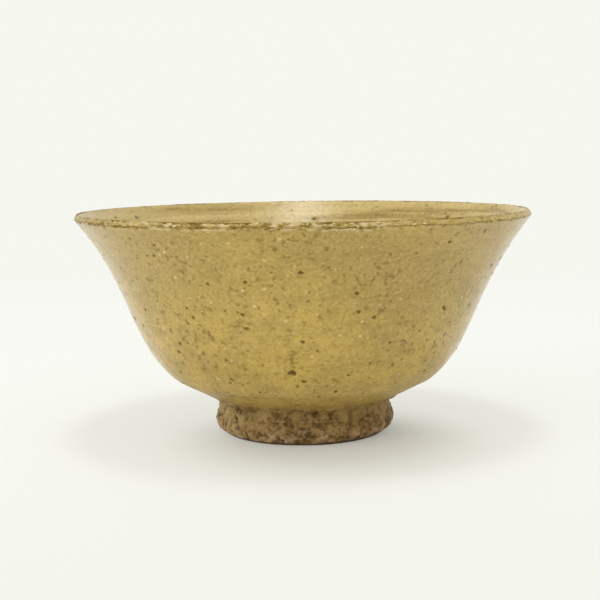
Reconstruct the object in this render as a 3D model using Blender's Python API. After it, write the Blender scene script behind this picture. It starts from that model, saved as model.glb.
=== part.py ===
"""A hand-thrown matcha bowl: clay body, luted foot ring and the fired glaze coats.

Units are metres, +Z is up, and the origin is the centre of the sole that the bowl stands on.
Every piece is turned about the Z axis from a profile of (radius, height) points.
"""

import math

import bmesh
import bpy
from mathutils import Vector
from mathutils.geometry import interpolate_bezier

# Overall size
RIM_RADIUS = 0.0750
BOWL_HEIGHT = 0.0740

# Lip: a facet that leans inwards from the widest edge up to the top edge
LIP_FACET_HEIGHT = 0.0018
LIP_FACET_INSET = 0.0012

# Outer wall: one curve from the hip, where the trimming begins, to the lip
HIP_RADIUS = 0.0434
HIP_HEIGHT = 0.0188
HIP_LEAN = math.radians(50.6)
HIP_PULL = 0.0196
RIM_LEAN = math.radians(40.8)
RIM_PULL = 0.0283

# Inside: the wall thickens from the lip downwards and runs into a flat tea pool
WALL_THICKNESS = 0.0052
LIP_TAPER = 0.0220
BASE_THICKNESS = 0.0067
POOL_RADIUS = 0.0150
POOL_DEPTH = 0.0008
POOL_EDGE = 0.0040
POOL_PULL = 0.0090

# Foot: a luted ring with a swollen middle, under the neck of the bowl
NECK_RADIUS = 0.0280
NECK_HEIGHT = 0.0108
SEAT_HEIGHT = 0.0098
FOOT_SWELL = 0.0019
FOOT_SWELL_HEIGHT = 0.0044
SOLE_WIDTH = 0.0068
SOLE_INSET = 0.0014
FOOT_INNER_DRAFT = 0.0010
SOLE_ROUND = 0.0010
SLIP_THICKNESS = 0.0008
CENTRE_TIP_RADIUS = 0.0060
CENTRE_TIP_DROP = 0.0014

# Glaze coats, bare where the fired edges broke through them
GLAZE_THICKNESS = 0.0005
BARE_EDGE = 0.0002
GLAZE_HEM = 0.0010
FUSED_GAP = 0.0003

# Facets round the axis and along the curves
TURN_STEPS = 48
WALL_STEPS = 10
WELL_STEPS = 6
FOOT_STEPS = 4

# Colours read from the fired surfaces, as linear RGB
GLAZE_COLOUR = (0.440, 0.320, 0.100)
LIP_COLOUR = (0.470, 0.350, 0.130)
WELL_COLOUR = (0.470, 0.345, 0.130)
CLAY_COLOUR = (0.165, 0.100, 0.047)
FOOT_COLOUR = (0.185, 0.115, 0.060)
SLIP_COLOUR = (0.150, 0.095, 0.048)


def clear_scene():
    for old in list(bpy.data.objects):
        bpy.data.objects.remove(old, do_unlink=True)


def curve_points(start, start_pull, end_pull, end, steps):
    """Points along a cubic curve whose two pulls are offsets from its ends."""
    found = interpolate_bezier(start, start + start_pull, end + end_pull, end, steps + 1)
    return [Vector(spot[:2]) for spot in found]


def lean(angle, length):
    """An upward step of that length, leaning outwards from the vertical."""
    return Vector((math.sin(angle), math.cos(angle), 0.0)) * length


def point(radius, height):
    return Vector((radius, height, 0.0))


def inward_normal(along):
    """The side that faces the clay when the skin runs from the neck to the lip."""
    return Vector((-along.y, along.x)).normalized()


def inset(skin, depth):
    """The skin moved into the clay by that depth, with its corners mitred."""
    moved = []
    for i, here in enumerate(skin):
        before = here - skin[i - 1] if i > 0 else skin[1] - here
        after = skin[i + 1] - here if i + 1 < len(skin) else before
        first, second = inward_normal(before), inward_normal(after)
        mitre = (first + second).normalized()
        moved.append(here + mitre * (depth / mitre.dot(first)))
    moved[-1].x = skin[-1].x
    return moved


def smooth_step(share):
    share = min(max(share, 0.0), 1.0)
    return share * share * (3.0 - 2.0 * share)


def outer_wall():
    """The outside from the hip up to the widest edge of the lip."""
    hip = point(HIP_RADIUS, HIP_HEIGHT)
    widest = point(RIM_RADIUS, BOWL_HEIGHT - LIP_FACET_HEIGHT)
    return curve_points(hip, lean(HIP_LEAN, HIP_PULL), -lean(RIM_LEAN, RIM_PULL), widest, WALL_STEPS)


def inner_wall(outside, top_edge):
    """The inside from the lip's top edge to above the hip, behind the outer wall."""
    widest = outside[-1]
    across = inward_normal(outside[-1] - outside[-2])
    lip_thickness = (top_edge - widest).dot(across)
    inside = [top_edge]
    for i in range(len(outside) - 2, -1, -1):
        along = outside[i + 1] - outside[max(i - 1, 0)]
        share = smooth_step((widest - outside[i]).length / LIP_TAPER)
        depth = lip_thickness + (WALL_THICKNESS - lip_thickness) * share
        inside.append(outside[i] + inward_normal(along) * depth)
    return inside


def tea_pool(wall_end):
    """The inside floor, from the foot of the inner wall to the centre of the pool."""
    floor = SEAT_HEIGHT + BASE_THICKNESS + POOL_DEPTH
    start = point(*wall_end)
    rim = point(POOL_RADIUS + POOL_EDGE, floor)
    pull = point(POOL_PULL, 0.0)
    sweep = curve_points(start, -lean(HIP_LEAN, POOL_PULL), pull, rim, WELL_STEPS)
    sunk = Vector((POOL_RADIUS, floor - POOL_DEPTH))
    centre = Vector((0.0, floor - POOL_DEPTH))
    return sweep[1:] + [sunk, centre]


def bowl_skin():
    """The whole fired surface from neck to tea pool, and the places of its corners."""
    neck = Vector((NECK_RADIUS, NECK_HEIGHT))
    outside = outer_wall()
    top_edge = Vector((RIM_RADIUS - LIP_FACET_INSET, BOWL_HEIGHT))
    inside = inner_wall(outside, top_edge)
    skin = [neck] + outside + inside + tea_pool(inside[-1])
    widest_at = len(outside)
    return skin, {"neck": 0, "widest": widest_at, "top": widest_at + 1, "centre": len(skin) - 1}


def coat_profile(skin, first, last, first_bare, last_bare):
    """A closed outline of the glaze between two corners of the skin, bare at its ends."""
    outline = []
    for surface in (skin, inset(skin, GLAZE_THICKNESS)):
        run = [p.copy() for p in surface[first:last + 1]]
        run[0] += (run[1] - run[0]).normalized() * first_bare
        run[-1] += (run[-2] - run[-1]).normalized() * last_bare
        outline.append(run)
    front, back = outline
    return front + back[::-1]


def body_profile(skin):
    """The thrown clay: the skin set back under the glaze, and the flat base inside the foot."""
    clay = inset(skin, GLAZE_THICKNESS + FUSED_GAP)
    seat = Vector((clay[0].x, SEAT_HEIGHT))
    tip_root = Vector((CENTRE_TIP_RADIUS, SEAT_HEIGHT))
    tip = Vector((0.0, SEAT_HEIGHT - CENTRE_TIP_DROP))
    return [tip, tip_root, seat] + clay


def foot_top():
    return SEAT_HEIGHT - SLIP_THICKNESS - 2.0 * FUSED_GAP


def foot_inner_radius():
    return NECK_RADIUS - SOLE_INSET - SOLE_WIDTH


def foot_profile():
    """The foot ring's section: swollen outside, rounded at the sole, drafted inside."""
    top = foot_top()
    shoulder = point(NECK_RADIUS, top)
    swell = point(NECK_RADIUS + FOOT_SWELL, FOOT_SWELL_HEIGHT)
    sole = point(NECK_RADIUS - SOLE_INSET, 0.0)
    upper_pull = point(0.0, (top - FOOT_SWELL_HEIGHT) / 2.0)
    lower_pull = point(0.0, FOOT_SWELL_HEIGHT / 2.0)
    sole_pull = point(SOLE_INSET + FOOT_SWELL, SOLE_ROUND)
    upper = curve_points(shoulder, point(FOOT_SWELL, 0.0) / 2.0, upper_pull, swell, FOOT_STEPS)
    lower = curve_points(swell, -lower_pull, sole_pull / 2.0, sole, FOOT_STEPS)
    inner = foot_inner_radius()
    inside = [
        Vector((inner + SOLE_ROUND, 0.0)),
        Vector((inner, SOLE_ROUND)),
        Vector((inner - FOOT_INNER_DRAFT, top)),
    ]
    return upper + lower[1:] + inside


def slip_profile():
    """The slip that lutes the foot ring to the base, filling the joint between them."""
    upper = SEAT_HEIGHT - FUSED_GAP
    lower = upper - SLIP_THICKNESS
    inner = foot_inner_radius() - FOOT_INNER_DRAFT
    return [
        Vector((inner, upper)),
        Vector((inner, lower)),
        Vector((NECK_RADIUS, lower)),
        Vector((NECK_RADIUS, upper)),
    ]


def fired_material(name, colour, roughness):
    material = bpy.data.materials.new(name)
    material.use_nodes = True
    shader = material.node_tree.nodes["Principled BSDF"]
    shader.inputs["Base Color"].default_value = (*colour, 1.0)
    shader.inputs["Roughness"].default_value = roughness
    shader.inputs["Metallic"].default_value = 0.0
    material.diffuse_color = (*colour, 1.0)
    return material


def turn(name, profile, material, parent):
    """One solid turned about the Z axis from its closed profile, whose side on the axis is left out."""
    shape = bmesh.new()
    ring = [shape.verts.new((p.x, 0.0, p.y)) for p in profile]
    sides = zip(ring, ring[1:] + ring[:1])
    edges = [shape.edges.new(side) for side in sides if any(end.co.x > 0.0 for end in side)]
    bmesh.ops.spin(
        shape,
        geom=ring + edges,
        cent=(0.0, 0.0, 0.0),
        axis=(0.0, 0.0, 1.0),
        angle=2.0 * math.pi,
        steps=TURN_STEPS,
        use_merge=True,
    )
    bmesh.ops.remove_doubles(shape, verts=shape.verts, dist=1e-6)
    bmesh.ops.recalc_face_normals(shape, faces=shape.faces)
    mesh = bpy.data.meshes.new(name)
    shape.to_mesh(mesh)
    shape.free()
    mesh.shade_smooth()
    mesh.set_sharp_from_angle(angle=math.radians(35.0))
    mesh.materials.append(material)
    made = bpy.data.objects.new(name, mesh)
    bpy.context.scene.collection.objects.link(made)
    made.parent = parent
    return made


def build():
    clear_scene()
    axis = bpy.data.objects.new("bowl_axis", None)
    bpy.context.scene.collection.objects.link(axis)

    skin, at = bowl_skin()
    outer = coat_profile(skin, at["neck"], at["widest"], GLAZE_HEM, BARE_EDGE)
    lip = coat_profile(skin, at["widest"], at["top"], BARE_EDGE, BARE_EDGE)
    inner = coat_profile(skin, at["top"], at["centre"], BARE_EDGE, 0.0)

    turn("clay_body", body_profile(skin), fired_material("stoneware", CLAY_COLOUR, 0.85), axis)
    turn("foot_ring", foot_profile(), fired_material("foot_clay", FOOT_COLOUR, 0.85), axis)
    turn("luting_slip", slip_profile(), fired_material("slip_clay", SLIP_COLOUR, 0.90), axis)
    turn("outer_glaze", outer, fired_material("outside_glaze", GLAZE_COLOUR, 0.42), axis)
    turn("lip_glaze", lip, fired_material("lip_glaze", LIP_COLOUR, 0.50), axis)
    turn("inner_glaze", inner, fired_material("inside_glaze", WELL_COLOUR, 0.35), axis)


build()
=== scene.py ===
import math

import bmesh
import bpy
import numpy as np
from bpy.props import FloatProperty, FloatVectorProperty, IntProperty, PointerProperty
from mathutils import Color, Matrix, Vector


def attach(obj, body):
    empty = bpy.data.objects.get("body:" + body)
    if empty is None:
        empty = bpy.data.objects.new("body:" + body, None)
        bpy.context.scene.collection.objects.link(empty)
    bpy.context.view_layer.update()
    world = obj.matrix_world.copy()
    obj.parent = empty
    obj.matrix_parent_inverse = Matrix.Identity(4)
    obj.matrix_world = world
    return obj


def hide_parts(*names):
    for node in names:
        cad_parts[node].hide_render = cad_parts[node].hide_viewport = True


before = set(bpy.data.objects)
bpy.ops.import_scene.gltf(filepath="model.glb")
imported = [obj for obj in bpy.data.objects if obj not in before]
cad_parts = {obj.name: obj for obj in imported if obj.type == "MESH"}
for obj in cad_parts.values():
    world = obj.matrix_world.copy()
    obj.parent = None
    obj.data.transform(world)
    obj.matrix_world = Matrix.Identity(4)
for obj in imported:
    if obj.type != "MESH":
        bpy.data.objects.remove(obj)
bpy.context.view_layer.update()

bl_info = {
    "name": "Ash-Glazed Tea Bowl",
    "version": (1, 0, 0),
    "blender": (4, 5, 0),
    "location": "View3D > Sidebar > Tea Bowl",
    "description": "Builds a hand-thrown tea bowl with its glaze coats, rough foot and a plain stage",
    "category": "Object",
}

MM = 0.001
UNDOABLE = {"REGISTER", "UNDO"}

# Socket types of the node groups
FLOAT, VECTOR, GEOMETRY = "NodeSocketFloat", "NodeSocketVector", "NodeSocketGeometry"
SOCKETS = {float: FLOAT, tuple: VECTOR, int: "NodeSocketInt"}

# Hand-thrown unevenness: the slow sway of the wall and the foot, and the wall's fuller +X side, which
# lies between two heights and, as a share of the radius, from one place across to another
WALL_SWAY, FOOT_SWAY, FULLER_SIDE = 0.35 * MM, 0.9 * MM, 0.9 * MM
FULLER_ABOVE, FULLER_BELOW, FULLER_ACROSS = (0.036, 0.062), (0.0745, 0.0660), (0.70, 1.0)

# Points along the outlines, and rows along and columns round the turned meshes
WALL_STEPS, CONE_STEPS, LIP_STEPS, SWEEP_STEPS, POOL_STEPS, FLOOR_STEPS = 160, 40, 12, 60, 20, 30
SKIN_STEPS = 3200
CLAY_COLUMNS = 400
FOOT_GRID, SLIP_GRID = (110, 560), (96, 560)
OUTER_GRID, LIP_GRID, INNER_GRID = (128, 700), (16, 1200), (185, 480)
FRONT_ROWS_PER_BACK_ROW = 14
CORNER_CUTS = 3

# The tea pool: the width and depth of its edge, and how far the curves into it hold their lean
POOL_EDGE, POOL_DEPTH = 4.0 * MM, 0.8 * MM
WELL_PULL, POOL_PULL = 9.0 * MM, 2.0 * MM

# Edges rubbed round, each with its reach and the number of strokes. The angle from which an edge is sharp
HIP_WEAR, WIDEST_WEAR, TOP_WEAR = (1.2 * MM, 90), (0.9 * MM, 50), (0.7 * MM, 30)
SHARP_FROM = math.radians(70.0)
ON_AXIS = 1e-7  # the radius of a ring that is a single point

# The lip's two edges wander up and down round the rim, and the skin's three parts overlap for that
OUTSIDE, LIP, INSIDE = 0, 1, 2
LIP_OVERLAP = 0.5 * MM
LIP_WANDER = 0.8 * LIP_OVERLAP

# Uneven widths round the rim: swings in a turn, how they weaken and spread, how much wider one side is,
# and the usual share of a mostly closed width
WANDERING = (2, 3, 5, 8, 13, 21, 34, 55, 89, 144)
BROKEN = WANDERING[4:]
SWING_WEAKENS, SWING_RANGE, MORE_ON_ONE_SIDE = -0.30, 2.2, 0.3
MOSTLY_CLOSED = -0.15

# Seeds of the wandering edges and of the hems
LOWER_EDGE, UPPER_EDGE = 31, 32
NECK_HEM, WIDEST_HEM, LIP_LOWER_HEM, LIP_UPPER_HEM = 11, 12, 21, 22

# Hems of a coat: the bare width at which they are fully rolled, how deep they sink, how soon the front
# counts in full, from what share of it grains lie there, and how far from the hem pits begin
HEM_OPENS, HEM_SINKS, FRONT_GAIN, FULL_FRONT = 0.2 * MM, 0.8, 1.4, 0.95
PITS_FROM_HEM = (0.5 * MM, 2.5 * MM)

# Depth of the clay under the skin, by the distance from a bare edge and at the neck. The tip inside the
# foot, and the height under which the sole is flat
EDGE_GAPS, EDGE_DEPTHS = (0.0, 0.9 * MM, 2.0 * MM), (0.05 * MM, 0.25 * MM)
NECK_BARE, NECK_DEPTH = 1.5 * MM, 0.3 * MM
TIP_DROP, TIP_RADIUS = 1.4 * MM, 6.0 * MM
SOLE_FLAT = 0.12 * MM

# Where the surfaces change, from the start of an effect to the whole of it: heights, then places across
# More gold low on the wall is partly glaze colour, partly painted light from the floor; gold over the hip
# is painted light
GOLD_AND_LIGHT_FADE, PAINTED_LIGHT_ABOVE_HIP, NECK_BROWN = (0.018, 0.060), (0.026, 0.016), (0.0165, 0.0120)
CLEAR_TOP, DULLED, FLAKED, ON_LIP = (0.011, 0.024), (0.042, 0.060), (0.060, 0.066), (0.0712, 0.0722)
# Painted shade: the sole is darkened just above the floor, a painted contact shadow
SOLE_CONTACT_SHADE, BARE_LUMPS = (0.0014, 0.0004), (0.0058, 0.0030)
WASHED, STAINED = (0.0030, 0.0095), (0.030, 0.060)
DULL_SIDE, SMOKED_END, SIDE_LAMP_SHEEN = (-0.025, -0.055), (-0.040, -0.066), (-0.014, -0.027)
FLAKES_END_RIGHT, FLAKES_END_LEFT = (0.012, 0.034), (-0.038, -0.058)
POOLED_AT, POOLED = (-0.002, -0.059, 0.034), (0.026, 0.006)
EVERYWHERE = 1.0  # a reach past every edge

# The stage: the floor's reach and far end, where its shadow lies, and how it changes with distance
FLOOR_REACH, FLOOR_END = 3.0, 0.49
SHADOW_AT, SHADOW_EDGE = (0.008, -0.022, 0.0), (0.020, 0.060)
# Painted shade: the floor and its glow are painted darker in front of the bowl, between these places along
# Y
FRONT_FLOOR_SHADE, FAR_FLOOR = (-0.02, -0.16), (0.40, 1.10)
LENS, SENSOR, CLIP_START, CAMERA_ASIDE = 75.56, 36.0, 0.01, -0.00104


# Properties

def size(name, description, default):
    return FloatProperty(name=name, description=description, default=default, unit="LENGTH", precision=5)


def angle(name, description, degrees):
    turn = math.radians(degrees)
    return FloatProperty(name=name, description=description, default=turn, subtype="ANGLE")


def amount(name, description, default, **limits):
    return FloatProperty(name=name, description=description, default=default, min=0.0, **limits)


def shade(name, description, default):
    return FloatVectorProperty(
        name=name, description=description, default=default, size=3, min=0.0, max=1.0, subtype="COLOR"
    )


class BowlShape(bpy.types.PropertyGroup):
    """The turned outline of the bowl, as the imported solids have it."""

    rim_radius: size("Rim Radius", "Radius of the lip's widest edge", 0.0750)
    height: size("Height", "Height of the lip's top edge", 0.0740)
    lip_height: size("Lip Height", "Height of the bevel on the lip", 0.0018)
    lip_inset: size("Lip Inset", "How far the bevel leans inwards", 0.0012)
    hip_radius: size("Hip Radius", "Radius of the edge where trimming began", 0.0434)
    hip_height: size("Hip Height", "Height of that edge", 0.0188)
    hip_lean: angle("Hip Lean", "Lean of the wall above the hip", 50.6)
    hip_pull: size("Hip Pull", "How far the wall holds that lean", 0.0196)
    rim_lean: angle("Rim Lean", "Lean of the wall at the lip", 40.8)
    rim_pull: size("Rim Pull", "How far the wall holds that lean", 0.0283)
    wall: size("Wall", "Thickness of the wall below the lip", 0.0052)
    lip_taper: size("Lip Taper", "Distance over which the wall thins to the lip", 0.0220)
    floor_height: size("Floor Height", "Height of the tea pool's floor", 0.0165)
    pool_radius: size("Pool Radius", "Radius of the tea pool", 0.0150)
    neck_radius: size("Neck Radius", "Radius of the neck over the foot", 0.0280)
    neck_height: size("Neck Height", "Height of the neck", 0.0108)
    seat_height: size("Seat Height", "Height of the base's flat underside", 0.0098)
    foot_swell: size("Foot Swell", "How far the foot swells past the neck", 0.0019)
    swell_height: size("Swell Height", "Height of the foot's widest line", 0.0044)
    sole_outer: size("Sole Outer", "Outer radius of the flat sole", 0.0266)
    sole_inner: size("Sole Inner", "Inner radius of the flat sole", 0.0208)
    foot_top: size("Foot Top", "Height of the foot ring's upper face", 0.0084)
    glaze: size("Glaze", "Thickness of the glaze coats", 0.0005)


class BowlFinish(bpy.types.PropertyGroup):
    """Colours and grain of the fired surfaces."""

    ochre: shade("Ochre", "Main colour of the glaze", (0.430, 0.305, 0.078))
    gold: shade("Gold", "Colour where the glaze lies thick", (0.540, 0.380, 0.082))
    olive: shade("Olive", "Colour where the glaze lies thin", (0.365, 0.262, 0.070))
    thin_glaze: shade("Thin Glaze", "Brown where the glaze breaks over an edge", (0.185, 0.112, 0.016))
    pit: shade("Pit", "Colour inside the pits", (0.095, 0.056, 0.005))
    grain: shade("Grain", "Colour of the pale stone grains", (0.670, 0.530, 0.235))
    flake: shade("Flake", "Worn glaze on the lip", (0.660, 0.530, 0.310))
    clay: shade("Clay", "Bare fired clay", (0.285, 0.168, 0.057))
    # Crevice is darker clay and also painted shade in hollows; Lump is paler clay and also painted light
    # on rises
    dark_clay_and_shade: shade("Crevice", "Bare clay in the torn hollows", (0.085, 0.045, 0.007))
    pale_clay_and_light: shade("Lump", "Bare clay on the raised lumps", (0.450, 0.300, 0.158))
    pit_radius: size("Pit Radius", "Radius of the common pits", 0.0010)
    pit_spacing: size("Pit Spacing", "Spacing of the common pits", 0.0054)
    blister_radius: size("Blister Radius", "Radius of the few large pits", 0.0017)
    blister_spacing: size("Blister Spacing", "Spacing of the large pits", 0.0190)
    ring_pitch: size("Ring Pitch", "Distance between the outside's throwing rings", 0.0022)
    well_pitch: size("Well Pitch", "Distance between the inside's throwing rings", 0.0030)
    seed: IntProperty(name="Seed", description="Seed for scattered grains", default=7, min=0)


class StageLook(bpy.types.PropertyGroup):
    """The floor, backdrop, lamps and camera."""

    floor: shade("Floor", "Colour of the floor", (0.820, 0.830, 0.790))
    # Painted shade: the floor and its glow are darker in front of the bowl
    shaded_front_floor: shade("Near Floor", "Colour of the floor in front of the bowl", (0.780, 0.790, 0.740))
    bounce: shade("Bounce", "Colour the floor has for the bowl's light", (0.960, 0.955, 0.920))
    white: shade("White", "Colour of the floor's haze", (0.955, 0.970, 0.910))
    shaded_front_white: shade("Near White", "Colour of the haze in front of the bowl", (0.910, 0.925, 0.870))
    # Painted light: the share of a glow the camera sees on the floor, which lifts the floor's shadows
    shadow_lift: amount("Shadow Lift", "Share of even paleness the camera sees on the floor", 0.60, max=1.0)
    backdrop: shade("Backdrop", "Colour seen behind the floor", (0.921, 0.929, 0.864))
    daylight: shade("Daylight", "Colour of the even light all round", (1.0, 0.99, 0.96))
    sky: amount("Sky", "Strength of the even light all round", 0.83)
    top_lamp: amount("Top Lamp", "Lamp over the bowl", 3.6, unit="POWER")
    side_lamp: amount("Side Lamp", "Wide lamp to the left of the camera", 6.0, unit="POWER")
    distance: size("Camera Distance", "Distance of the camera from the bowl's axis", 0.4200)
    camera_height: size("Camera Height", "Height of the camera", 0.0933)
    pitch: angle("Pitch", "How far the camera looks down", 6.76)
    roll: angle("Roll", "Tilt of the camera about its view", -0.75)


# Node trees

class Sketch:
    """Adds nodes to one tree. An input is given by name or place, as a value or as a socket to link."""

    def __init__(self, tree):
        self.tree = tree

    def add(self, kind, inputs=None, **settings):
        node = self.tree.nodes.new(kind)
        for key, value in settings.items():
            setattr(node, key, value)
        for key, value in (inputs or {}).items():
            self.feed(node.inputs[key], value)
        return node

    def out(self, kind, inputs=None, **settings):
        """The first output of a new node."""
        return self.add(kind, inputs, **settings).outputs[0]

    def feed(self, socket, value):
        if isinstance(value, bpy.types.NodeSocket):
            self.tree.links.new(value, socket)
        else:
            socket.default_value = (*value, 1.0) if isinstance(value, Color) else value

    def math(self, operation, a, b, clamp=False):
        return self.out("ShaderNodeMath", {0: a, 1: b}, operation=operation, use_clamp=clamp)

    def times(self, a, b):
        return self.math("MULTIPLY", a, b)

    def plus(self, a, b, clamp=False):
        return self.math("ADD", a, b, clamp)

    def larger(self, a, b):
        return self.math("MAXIMUM", a, b)

    def centred(self, value, depth):
        """A value around a half, turned into a height around nothing."""
        return self.times(self.math("SUBTRACT", value, 0.5), depth)

    def vector(self, operation, a, b):
        return self.out("ShaderNodeVectorMath", {0: a, 1: b}, operation=operation)

    def scaled(self, a, factor):
        return self.out("ShaderNodeVectorMath", {0: a, "Scale": factor}, operation="SCALE")

    def length(self, a):
        return self.add("ShaderNodeVectorMath", {0: a}, operation="LENGTH").outputs["Value"]

    def parts(self, a):
        return self.add("ShaderNodeSeparateXYZ", {0: a}).outputs

    def skewed(self, place):
        """The place turned out of line with the axes, so that noise doesn't show its grid."""
        inputs = {"Vector": place, "Rotation": (0.6, 0.4, 0.9)}
        return self.out("ShaderNodeVectorRotate", inputs, rotation_type="EULER_XYZ")

    def ramp(self, value, start, end, low=0.0, high=1.0):
        """Goes smoothly from low to high as the value goes from start to end."""
        inputs = {0: value, 1: start, 2: end, 3: low, 4: high}
        return self.out("ShaderNodeMapRange", inputs, interpolation_type="SMOOTHSTEP")

    def noise(self, place, scale, detail, roughness=0.5, distortion=0.0):
        inputs = {"Vector": place, "Scale": scale, "Detail": detail}
        return self.out("ShaderNodeTexNoise", {**inputs, "Roughness": roughness, "Distortion": distortion})

    def mix(self, factor, a, b):
        """A mix of two colours, which are this node's sockets 6 and 7 and its output 2."""
        return self.add("ShaderNodeMix", {0: factor, 6: a, 7: b}, data_type="RGBA").outputs[2]

    def layered(self, colour, *layers):
        """The colour with others laid over it in order, each through its mask."""
        for mask, tint in layers:
            colour = self.mix(mask, colour, tint)
        return colour


def node_group(kind, name, inputs, output, fill):
    """A named group, made when first wanted. fill(sketch, sockets) returns what it puts out."""
    found = bpy.data.node_groups.get(name)
    if found:
        return found
    tree = bpy.data.node_groups.new(name, kind)
    for label, socket_type, default in inputs:
        socket = tree.interface.new_socket(label, in_out="INPUT", socket_type=socket_type)
        if default is not None:
            socket.default_value = default
    label, socket_type = output
    tree.interface.new_socket(label, in_out="OUTPUT", socket_type=socket_type)
    sketch = Sketch(tree)
    entry = sketch.add("NodeGroupInput").outputs
    result = fill(sketch, {label: entry[label] for label, _, _ in inputs})
    sketch.add("NodeGroupOutput", {0: result})
    return tree


def fill_pits(sketch, given):
    """Uneven round pits scattered in space, drawn out along the turning, each of its own size."""
    place, spacing, radius = given["Place"], given["Spacing"], given["Radius"]
    fine = {"Vector": place, "Scale": sketch.math("DIVIDE", 1.0, radius), "Detail": 1.0}
    shake = sketch.add("ShaderNodeTexNoise", fine).outputs["Color"]
    shake = sketch.scaled(sketch.vector("SUBTRACT", shake, (0.5, 0.5, 0.5)), sketch.times(radius, 0.9))
    stretched = sketch.vector("MULTIPLY", sketch.vector("ADD", place, shake), (1.0, 1.0, 1.2))
    density = sketch.math("DIVIDE", 1.0, spacing)
    cells = sketch.add("ShaderNodeTexVoronoi", {"Vector": stretched, "Scale": density}).outputs
    distance = sketch.times(cells["Distance"], spacing)
    chance = sketch.parts(cells["Color"])[0]
    outer = sketch.times(radius, sketch.ramp(chance, 0.0, 1.0, 0.3, 1.0))
    return sketch.ramp(distance, sketch.times(outer, 0.5), outer, 1.0, 0.0)


def fill_rings(sketch, given):
    """Throwing rings: fine bands round the axis that waver a little."""
    flat = sketch.vector("MULTIPLY", given["Place"], (0.05, 0.05, 1.0))
    return sketch.noise(flat, sketch.math("DIVIDE", 1.0, given["Pitch"]), 2.0, 0.55, 0.15)


PIT_INPUTS = [("Place", VECTOR, None), ("Spacing", FLOAT, 0.005), ("Radius", FLOAT, 0.0008)]
RING_INPUTS = [("Place", VECTOR, None), ("Pitch", FLOAT, 0.002)]


def shared_mask(sketch, name, inputs, fill, values):
    """A pattern that both kinds of tree have as the same group, so that colour and hollow coincide."""
    kind = sketch.tree.bl_idname
    tree = node_group(kind, f"{name} {kind}", inputs, ("Mask", FLOAT), fill)
    return sketch.out(kind.replace("Tree", "Group"), values, node_tree=tree)


def pit_mask(sketch, place, spacing, radius):
    values = {"Place": place, "Spacing": spacing, "Radius": radius}
    return shared_mask(sketch, "Pits", PIT_INPUTS, fill_pits, values)


def ring_mask(sketch, place, pitch):
    return shared_mask(sketch, "Rings", RING_INPUTS, fill_rings, {"Place": place, "Pitch": pitch})


# Geometry Nodes

def marked(sketch, label):
    return sketch.out("GeometryNodeInputNamedAttribute", {"Name": label}, data_type="FLOAT")


def stored(sketch, geometry, label, value, data_type):
    inputs = {"Geometry": geometry, "Name": label, "Value": value}
    return sketch.out("GeometryNodeStoreNamedAttribute", inputs, data_type=data_type, domain="POINT")


def moved(sketch, geometry, offset):
    """The geometry pushed by an offset, with smooth faces."""
    pushed = sketch.out("GeometryNodeSetPosition", {"Geometry": geometry, "Offset": offset})
    return sketch.out("GeometryNodeSetShadeSmooth", {"Geometry": pushed})


def finished(sketch, geometry, material):
    whole = sketch.out("GeometryNodeRealizeInstances", {"Geometry": geometry})
    return sketch.out("GeometryNodeSetMaterial", {"Geometry": whole, "Material": material})


def sway(sketch, place, reach):
    """Hand-thrown unevenness: a push away from the axis, the same for every piece at one place.

    It is slow all round, and the wall is fuller under the lip on the +X side.
    """
    slow = sketch.noise(place, 22.0, 1.0)
    level = sketch.vector("MULTIPLY", place, (1.0, 1.0, 0.0))
    from_axis = sketch.larger(sketch.length(level), 0.02)
    outwards = sketch.scaled(level, sketch.math("DIVIDE", 1.0, from_axis))
    side = sketch.ramp(sketch.parts(outwards)[0], *FULLER_ACROSS)
    height = sketch.parts(place)[2]
    under_lip = sketch.times(
        sketch.ramp(height, *FULLER_ABOVE), sketch.ramp(height, *FULLER_BELOW, 0.35, 1.0)
    )
    fuller = sketch.times(sketch.times(side, under_lip), FULLER_SIDE)
    return sketch.scaled(outwards, sketch.plus(sketch.centred(slow, sketch.times(reach, 2.0)), fuller))


def fill_coat(sketch, given):
    """A fired coat: uneven, ringed and slightly rough on its front, with sunken pits."""
    place = sketch.out("GeometryNodeInputPosition")
    normal = sketch.out("GeometryNodeInputNormal")
    front, hem = marked(sketch, "front"), marked(sketch, "hem")
    ringed = sketch.centred(ring_mask(sketch, place, given["Ring Pitch"]), given["Ring Depth"])
    skin = sketch.centred(sketch.noise(place, 420.0, 3.0, 0.6), given["Skin Depth"])
    offset = sketch.scaled(normal, sketch.times(sketch.plus(ringed, skin), front))
    offset = sketch.vector("ADD", offset, sway(sketch, place, given["Sway"]))
    kept = stored(sketch, given["Geometry"], "fired_place", place, "FLOAT_VECTOR")
    rough = moved(sketch, kept, offset)

    pits = pit_mask(sketch, place, given["Pit Spacing"], given["Pit Radius"])
    blisters = pit_mask(sketch, place, given["Blister Spacing"], given["Blister Radius"])
    inland = sketch.ramp(hem, *PITS_FROM_HEM)
    depth = sketch.times(sketch.times(sketch.larger(pits, blisters), inland), given["Pit Depth"])
    sunk = sketch.scaled(normal, sketch.times(sketch.times(depth, front), -1.0))
    return finished(sketch, moved(sketch, rough, sunk), given["Material"])


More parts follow.
